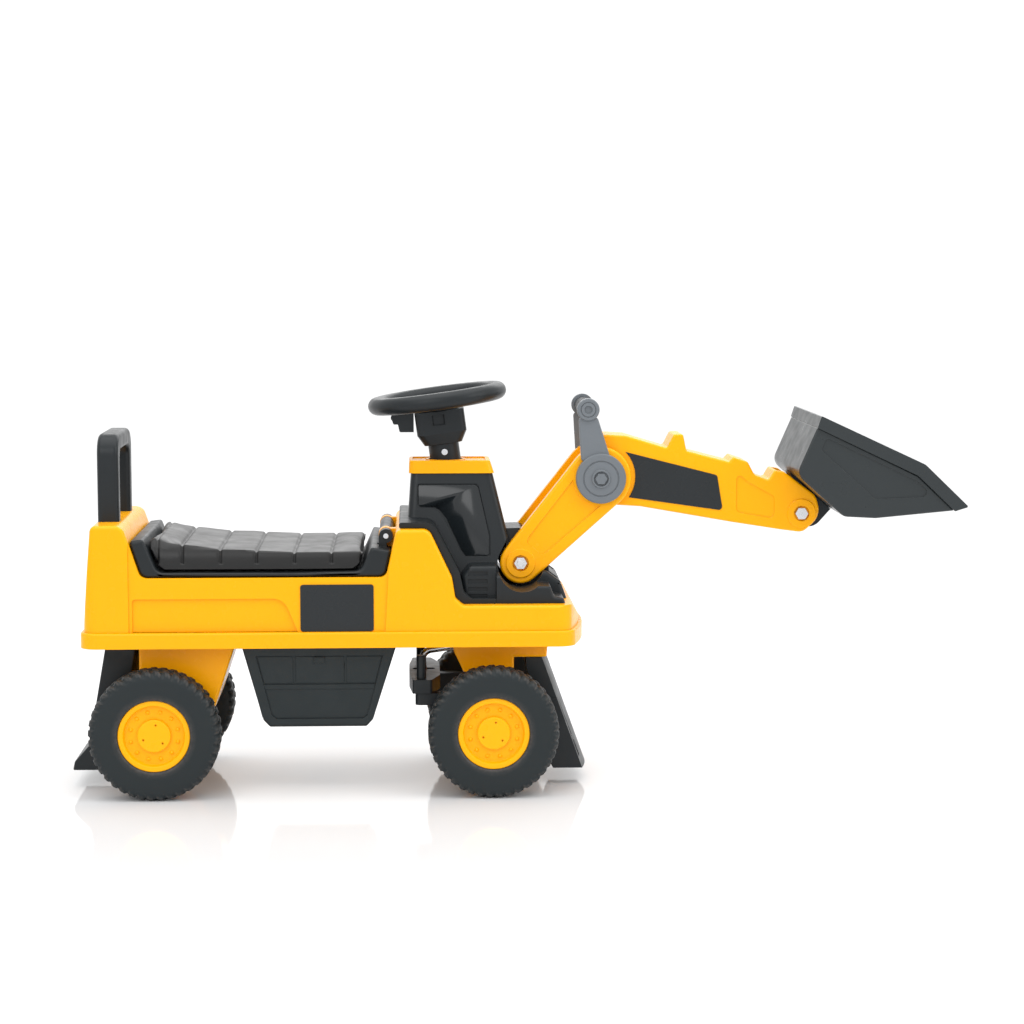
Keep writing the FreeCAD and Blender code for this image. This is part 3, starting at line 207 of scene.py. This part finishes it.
def metal(name, colour, *, rough):
    """Zinc-plated steel with uneven shine."""
    mat, nodes, links, shader = tree(name)
    fine = noise(nodes, links, scale=900.0, detail=3.0)
    broad = noise(nodes, links, scale=90.0, detail=3.0)
    tone = mixed(nodes, links, broad, scaled(colour, 0.82), colour)
    gloss = ranged(nodes, links, fine, low=rough * 0.7, high=rough * 1.4)
    links.new(tone, shader.inputs["Base Color"])
    links.new(gloss, shader.inputs["Roughness"])
    shader.inputs["Metallic"].default_value = 1.0
    bumped(nodes, links, shader, [bump(fine, strength=0.12, depth=0.0001)], edge=0.0004)
    return mat


def vinyl(name, colour, *, rough):
    """Black grained vinyl: small pebbles, creases, patches of warmer tone and shine."""
    mat, nodes, links, shader = tree(name)
    place = nodes.new("ShaderNodeTexCoord")
    pebble = nodes.new("ShaderNodeTexVoronoi")
    pebble.feature = "SMOOTH_F1"
    pebble.inputs["Scale"].default_value = 620.0
    pebble.inputs["Smoothness"].default_value = 0.6
    links.new(place.outputs["Object"], pebble.inputs["Vector"])
    crease = noise(nodes, links, scale=130.0, detail=4.0, roughness=0.6)
    shine = noise(nodes, links, scale=28.0, detail=3.0)
    warm = tuple(c * k for c, k in zip(colour, (1.35, 1.22, 1.12)))
    gloss = ranged(nodes, links, shine, low=rough * 0.8, high=rough * 1.25)
    links.new(mixed(nodes, links, shine, colour, warm), shader.inputs["Base Color"])
    links.new(gloss, shader.inputs["Roughness"])
    shader.inputs["Specular IOR Level"].default_value = 0.32
    bumped(nodes, links, shader, [
        bump(pebble.outputs["Distance"], strength=0.22, depth=0.00035),
        bump(crease, strength=0.18, depth=0.0006),
    ])
    return mat


def rubbery(name, colour, highlight_colour):
    """Dull tyre plastic whose lug edges carry a painted highlight, lighter and light
    brown.
    """
    mat, nodes, links, shader = tree(name)
    geo = nodes.new("ShaderNodeNewGeometry")
    # painted highlight: convex lug edges, found by pointiness, are picked out for a
    # lighter colour
    highlight_edge_mask = ranged(nodes, links, geo.outputs["Pointiness"], low=0.0, high=1.0,
                 start=0.515, end=0.60)
    patch = noise(nodes, links, scale=170.0, detail=4.0, roughness=0.65)
    painted_highlight = nodes.new("ShaderNodeMath")
    painted_highlight.operation = "MULTIPLY"
    # the painted highlight is patchy, weakened by the noise below
    links.new(highlight_edge_mask, painted_highlight.inputs[0])
    links.new(ranged(nodes, links, patch, low=0.25, high=1.0), painted_highlight.inputs[1])
    fine = noise(nodes, links, scale=1500.0, detail=3.0)
    dust = noise(nodes, links, scale=30.0, detail=4.0)
    base = mixed(nodes, links, dust, scaled(colour, 0.88), scaled(colour, 1.15))
    # painted highlight on the lug edges, laid over the base tone
    tone = mixed(nodes, links, painted_highlight.outputs[0], base, highlight_colour)
    gloss = ranged(nodes, links, dust, low=0.42, high=0.60)
    links.new(tone, shader.inputs["Base Color"])
    links.new(gloss, shader.inputs["Roughness"])
    shader.inputs["Specular IOR Level"].default_value = 0.25
    bumped(nodes, links, shader, [
        bump(fine, strength=0.25, depth=0.00018),
        bump(patch, strength=0.12, depth=0.0005),
    ], edge=0.0005)
    return mat


def white_floor(name):
    """Pale glossy studio floor."""
    mat, nodes, links, shader = tree(name)
    soft = noise(nodes, links, scale=3.0)
    tone = mixed(nodes, links, soft, (0.80, 0.80, 0.805), (0.82, 0.82, 0.825))
    gloss = ranged(nodes, links, soft, low=0.05, high=0.08)
    links.new(tone, shader.inputs["Base Color"])
    links.new(gloss, shader.inputs["Roughness"])
    shader.inputs["Specular IOR Level"].default_value = 0.5
    return mat


YELLOW = moulded("yellow_plastic", (0.92, 0.395, 0.001),
                 rough=0.25, grain=0.05, vary=0.02, specular=0.20)
HUB_YELLOW = moulded("hub_plastic", (0.94, 0.420, 0.001),
                     rough=0.30, grain=0.05, vary=0.02, specular=0.20)
BLACK = moulded("black_plastic", (0.011, 0.014, 0.016),
                rough=0.36, grain=0.14, vary=0.10, specular=0.26)
TUB = moulded("tub_plastic", (0.017, 0.023, 0.025),
              rough=0.42, grain=0.16, vary=0.08, specular=0.24)
SCOOP = moulded("bucket_plastic", (0.020, 0.025, 0.027),
                rough=0.32, grain=0.12, vary=0.08, specular=0.35)
GREY = moulded("lever_plastic", (0.135, 0.150, 0.165),
               rough=0.34, grain=0.10, vary=0.05, specular=0.35)
PLATE = moulded("plate_film", (0.016, 0.019, 0.021),
                rough=0.26, grain=0.03, vary=0.04, specular=0.26)
GLASS = moulded("window_plastic", (0.009, 0.012, 0.014),
                rough=0.14, grain=0.02, vary=0.05, specular=0.45)
STEEL = metal("zinc_steel", (0.66, 0.67, 0.69), rough=0.24)
VINYL = vinyl("seat_vinyl", (0.010, 0.0105, 0.011), rough=0.36)
# the tyre's lug edges get a painted highlight in a light brown colour
TYRE = rubbery("tyre_plastic", (0.014, 0.019, 0.021), highlight_colour=(0.13, 0.11, 0.098))

BY_SLOT = {
    "yellow_shell": YELLOW,
    "hub_yellow": HUB_YELLOW,
    "black_moulding": BLACK,
    "dark_tub": TUB,
    "lever_grey": GREY,
    "plate_black": PLATE,
    "steel": STEEL,
    "seat_vinyl": VINYL,
    "tyre_plastic": TYRE,
}


def paint(obj, mat):
    """Gives an object one material, in place of its own."""
    obj.data.materials.clear()
    obj.data.materials.append(mat)


for part in frame["record"]["subparts"]:
    paint(NODES[part["node"]], BY_SLOT[part["material_slot"]])
paint(NODES["bucket"], SCOOP)
paint(NODES["elbow_bolt"], GREY)


# ---------------------------------------------------------------- mesh helpers
def mesh_object(name, verts, faces, mat, smooth=True):
    """New painted mesh object, its points given in the shared frame."""
    mesh = bpy.data.meshes.new(name)
    mesh.from_pydata(verts, [], faces)
    mesh.update()
    obj = bpy.data.objects.new(name, mesh)
    bpy.context.scene.collection.objects.link(obj)
    paint(obj, mat)
    for face in mesh.polygons:
        face.use_smooth = smooth
    return obj


def outward(obj):
    """Turns every face of a closed mesh outwards."""
    work = bmesh.new()
    work.from_mesh(obj.data)
    bmesh.ops.recalc_face_normals(work, faces=work.faces)
    work.to_mesh(obj.data)
    work.free()


def step(value, edge, width):
    """0 below the edge, 1 above it, with a soft ramp."""
    t = min(1.0, max(0.0, (value - edge) / width + 0.5))
    return t * t * (3 - 2 * t)


def triangle(value):
    """Zigzag of period 1 between -1 and 1."""
    return 4 * abs(value - math.floor(value + 0.5)) - 1


# ---------------------------------------------------------------- tyres
def tyre_profile():
    """Points (radius, sideways) round one section of the tyre, as a closed loop."""
    sidewall = [(HUB_R, -BEAD_HALF), (0.0445, -0.0198), (0.052, -0.0203),
                (0.060, -0.0204), (0.0640, -0.0203), (0.0660, -0.0201)]
    shoulder = [(0.0675, -0.0198), (0.0690, -0.0193), (0.0705, -0.0186),
                (0.0720, -0.0176), (0.0732, -0.0164), (0.0741, -0.0150),
                (0.0745, -0.0138), (0.0747, -0.0124)]
    crown = [(TREAD_R, -0.0110 + 0.0011 * i) for i in range(10)] + [(TREAD_R, 0.0)]
    left = sidewall + shoulder + crown
    right = [(r, -y) for r, y in reversed(left[:-1])]
    inner = [(HUB_R, BEAD_HALF - 2 * BEAD_HALF * i / 6) for i in range(1, 6)]
    return left + right + inner


def lug_cut(turn, side, radius):
    """Two shares at a place on the tyre, each 0 to 1: groove, and lug end reached."""
    across = side / TYRE_HALF
    row = 0.0 if side < 0 else 0.5
    wave = LUG_WAVE * triangle(3 * turn * LUGS)
    phase = turn * LUGS + row + LUG_SLANT * abs(across) + wave
    place = phase - math.floor(phase)
    groove = 1 - step(abs(place - 0.5), GROOVE_HALF, GROOVE_RAMP)
    sway = MIDDLE_SWAY * triangle(turn * LUGS / 2)
    middle = 1 - step(abs(across - sway), MIDDLE_HALF, MIDDLE_RAMP)
    edge = (LUG_END_R + LUG_END_JAG * triangle(phase + 0.25)
            + LUG_END_FINE_JAG * triangle(FINE_JAG_RATE * phase))
    cut = max(groove, middle) * step(radius, edge, CUT_RAMP)
    return cut, step(radius, edge, SIDE_RAMP)


def tread_point(turn, r, y):
    """Radius and sideways place of a profile point, with the lugs cut in."""
    if r <= HUB_R:
        return r, y
    cut, on_lug = lug_cut(turn, y, r)
    share = 1.0 if r > CROWN_R else SHOULDER_SHARE
    radius = r - share * LUG_DEPTH * cut
    if abs(y) <= SIDE_START:
        return radius, y
    inwards = SIDE_CUT * cut if r > SHOULDER_R else 0.0
    slim = SIDE_SLIM * (1 - on_lug) if r > SIDEWALL_R else 0.0
    return radius, y - math.copysign(inwards + slim, y)


def tyre(corner):
    """Tyre with slanted lugs in two staggered rows and a jagged shoulder."""
    low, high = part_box("tyre_" + corner)
    middle = (low + high) / 2
    steps = LUGS * LUG_STEPS
    loop = tyre_profile()
    verts, faces = [], []
    for i in range(steps):
        turn = i / steps
        c, s = math.cos(2 * math.pi * turn), math.sin(2 * math.pi * turn)
        for r, y in loop:
            radius, side = tread_point(turn, r, y)
            verts.append((middle.x + radius * c, middle.y + side, middle.z + radius * s))
    n = len(loop)
    for i in range(steps):
        a, b = i * n, ((i + 1) % steps) * n
        for k in range(n):
            m = (k + 1) % n
            faces.append((a + k, a + m, b + m, b + k))
    obj = mesh_object("tread_tyre_" + corner, verts, faces, TYRE)
    outward(obj)
    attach(obj, "wheel_" + corner)
    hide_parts("tyre_" + corner)


for corner in CORNERS:
    tyre(corner)


# ---------------------------------------------------------------- seat cushion
def settle(obj):
    """Applies an object's modifiers to its mesh."""
    view = bpy.context.evaluated_depsgraph_get()
    mesh = bpy.data.meshes.new_from_object(obj.evaluated_get(view))
    obj.modifiers.clear()
    obj.data = mesh


def move_in(obj, depth):
    """Moves every point inwards along its normal."""
    normals = [v.normal.copy() for v in obj.data.vertices]
    for v, normal in zip(obj.data.vertices, normals):
        v.co -= normal * depth
    obj.data.update()


def seat_start():
    """The cushion before it is stuffed: the CAD solid, remeshed and drawn in."""
    pad = bpy.data.objects.new("seat_cushion", NODES["seat_pad"].data.copy())
    bpy.context.scene.collection.objects.link(pad)
    remesh = pad.modifiers.new("even", "REMESH")
    remesh.mode = "VOXEL"
    remesh.voxel_size = CUSHION_VOXEL
    settle(pad)
    move_in(pad, CUSHION_INSET)
    return pad


def stuff(pad):
    """Cloth simulation: the cover swells under pressure, held along its seams."""
    start = [v.co.copy() for v in pad.data.vertices]
    held = pad.vertex_groups.new(name="held")
    low = min(p.z for p in start)
    for i, p in enumerate(start):
        near_seam = min(abs(p.x - x) for x in SEAMS) < SEAM_HOLD
        if near_seam or p.z < low + BASE_HOLD:
            held.add([i], 1.0, "REPLACE")
    cloth = pad.modifiers.new("cloth", "CLOTH")
    cloth.settings.vertex_group_mass = "held"
    cloth.settings.use_pressure = True
    cloth.settings.uniform_pressure_force = PRESSURE
    cloth.settings.effector_weights.gravity = 0.0
    scene = bpy.context.scene
    for number in range(1, CLOTH_FRAMES + 1):
        scene.frame_set(number)
    settle(pad)
    scene.frame_set(1)
    for v, p in zip(pad.data.vertices, start):
        shift = v.co - p
        if shift.length > SWELL_CAP:
            v.co = p + shift.normalized() * SWELL_CAP
    pad.data.update()


def press_seams(pad):
    """Presses in the channels across the cushion and the two ends of its top."""
    points = [(v.co.copy(), v.normal.copy()) for v in pad.data.vertices]
    for v, (p, normal) in zip(pad.data.vertices, points):
        if p.z < CHANNEL_FOOT:
            continue
        depth = 0.0
        for x in SEAMS:
            depth += SEAM_DEPTH * math.exp(-((p.x - x) / SEAM_WIDTH) ** 2)
        for x in SEAT_ENDS:
            depth += END_DEPTH * math.exp(-((p.x - x) / END_WIDTH) ** 2)
        if depth > LEAST_PRESS:
            v.co = p - normal * depth
    pad.data.update()


def cushion():
    """Black vinyl seat cushion with five channels across it."""
    pad = seat_start()
    stuff(pad)
    round_off = pad.modifiers.new("round", "SUBSURF")
    round_off.levels = round_off.render_levels = 2
    settle(pad)
    pad.data.update()
    press_seams(pad)
    paint(pad, VINYL)
    for face in pad.data.polygons:
        face.use_smooth = True
    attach(pad, "seat")
    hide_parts("seat_pad")


cushion()


# ---------------------------------------------------------------- cab windows
def cab_window(name, side):
    """Glossy blind window set in the recess of the cab's leaning side."""
    outline = [(-0.1150, 0.3510), (-0.0480, 0.3510), (-0.0440, 0.3480),
               (-0.0322, 0.2930), (-0.0322, 0.2710), (-0.0350, 0.2690),
               (-0.0600, 0.2692), (-0.0650, 0.2760), (-0.0770, 0.3010),
               (-0.0820, 0.3120), (-0.0900, 0.3220), (-0.0960, 0.3255),
               (-0.1130, 0.3262), (-0.1150, 0.3290)]
    rings = ((1.0, -0.0006), (0.995, 0.0005), (0.975, 0.0009))  # size, height
    count = len(outline)
    cx = sum(p[0] for p in outline) / count
    cz = sum(p[1] for p in outline) / count

    def at(x, z, proud):
        wall = CAB_HALF - (z - CAB_FOOT) * CAB_LEAN / CAB_RISE
        return (x, side * (wall - WINDOW_RECESS + proud), z)

    verts = []
    for size, proud in rings:
        verts += [at(cx + (x - cx) * size, cz + (z - cz) * size, proud)
                  for x, z in outline]
    faces = []
    for k in range(len(rings) - 1):
        a, b = k * count, (k + 1) * count
        for i in range(count):
            j = (i + 1) % count
            faces.append((a + i, a + j, b + j, b + i))
    last = (len(rings) - 1) * count
    faces.append(tuple(last + i for i in range(count)))
    faces.append(tuple(reversed(range(count))))
    obj = mesh_object(name, verts, faces, GLASS)
    outward(obj)
    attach(obj, "body")


cab_window("cab_window_left", 1)
cab_window("cab_window_right", -1)


# ---------------------------------------------------------------- tub sides
def tub_side(x, z, side, proud):
    """Point on the leaning side of the storage tub, raised by so much."""
    return (x, side * (TUB_HALF + (z - TUB_FOOT) * TUB_LEAN / TUB_RISE + proud), z)


def raised(name, side, outer, inner=None, *, proud):
    """Relief on the tub's side: a plate, or a frame if it has an inner outline."""
    count = len(outer)
    rings = [(outer, RELIEF_ROOT), (outer, proud)]
    if inner:
        rings += [(inner, proud), (inner, RELIEF_ROOT)]
    verts = [tub_side(x, z, side, up) for points, up in rings for x, z in points]
    faces = []
    for k in range(len(rings) if inner else 1):
        a, b = k * count, (k + 1) % len(rings) * count
        for i in range(count):
            j = (i + 1) % count
            faces.append((a + i, a + j, b + j, b + i))
    if not inner:
        faces.append(tuple(range(count)))
        faces.append(tuple(count + i for i in range(count)))
    obj = mesh_object(name, verts, faces, TUB, smooth=False)
    outward(obj)
    soft = obj.modifiers.new("soft", "BEVEL")
    soft.width = 0.0005
    soft.segments = 2
    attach(obj, "body")


def tub_relief(word, side):
    """Frame, upper panels, cross rib and latch tab on one side of the tub."""
    rim = [(-0.3160, 0.1710), (-0.2950, 0.0870), (-0.2870, 0.0785),
           (-0.1750, 0.0785), (-0.1670, 0.0870), (-0.1425, 0.1710)]
    bay = [(-0.3015, 0.1600), (-0.2840, 0.0900), (-0.2790, 0.0855),
           (-0.1790, 0.0855), (-0.1740, 0.0900), (-0.1560, 0.1600)]
    rib = [(-0.2930, 0.1262), (-0.2917, 0.1205), (-0.1664, 0.1205), (-0.1650, 0.1262)]
    panels = {
        "rear": [(-0.3000, 0.1590), (-0.2925, 0.1275),
                 (-0.2592, 0.1275), (-0.2592, 0.1590)],
        "middle": [(-0.2564, 0.1590), (-0.2564, 0.1275),
                   (-0.2007, 0.1275), (-0.2007, 0.1590)],
        "front": [(-0.1979, 0.1590), (-0.1979, 0.1275),
                  (-0.1650, 0.1275), (-0.1574, 0.1590)],
    }
    latch = [(-0.2352, 0.1585), (-0.2352, 0.1510), (-0.2228, 0.1510), (-0.2228, 0.1585)]
    raised("tub_frame_" + word, side, rim, bay, proud=0.0020)
    raised("tub_rib_" + word, side, rib, proud=0.0016)
    for place, corners in panels.items():
        raised("tub_panel_" + place + "_" + word, side, corners, proud=0.0008)
    raised("tub_latch_" + word, side, latch, proud=0.0022)


tub_relief("left", 1)
tub_relief("right", -1)


# ---------------------------------------------------------------- studio
def studio_floor():
    """Pale floor that runs to the horizon of the white world."""
    far = FLOOR_REACH
    verts = [(-far, -far, 0.0), (far, -far, 0.0), (far, far, 0.0), (-far, far, 0.0)]
    floor = mesh_object("studio_floor", verts, [(0, 1, 2, 3)],
                        white_floor("studio_white"))


def softbox(name, place, aim, size, power):
    """Rectangular area light, aimed at a point."""
    data = bpy.data.lights.new(name, "AREA")
    data.shape = "RECTANGLE"
    data.size, data.size_y = size
    data.energy = power
    lamp = bpy.data.objects.new(name, data)
    lamp.location = place
    towards = Vector(aim) - Vector(place)
    lamp.rotation_euler = towards.to_track_quat("-Z", "Y").to_euler()
    bpy.context.scene.collection.objects.link(lamp)


def white_world():
    """Even white surroundings, for light and for background."""
    world = bpy.data.worlds.new("studio_world")
    world.use_nodes = True
    sky = world.node_tree.nodes["Background"]
    sky.inputs["Color"].default_value = (1.0, 1.0, 1.0, 1.0)
    sky.inputs["Strength"].default_value = WORLD_STRENGTH
    bpy.context.scene.world = world


def place_camera():
    """Camera on the toy's right, a little behind the middle, looking slightly down."""
    lens = bpy.data.cameras.new("camera")
    lens.sensor_width = SENSOR_WIDTH
    lens.lens = FOCAL_LENGTH
    lens.clip_end = CLIP_END
    camera = bpy.data.objects.new("camera", lens)
    camera.location = CAMERA_PLACE
    camera.rotation_euler = (math.radians(90 - CAMERA_DOWN), 0.0,
                             math.radians(-CAMERA_RIGHT))
    bpy.context.scene.collection.objects.link(camera)
    bpy.context.scene.camera = camera


def studio():
    """Floor, lights, world, camera and plain view transform."""
    studio_floor()
    for box in SOFTBOXES:
        softbox(*box)
    white_world()
    place_camera()
    bpy.context.scene.view_settings.view_transform = "Standard"


studio()
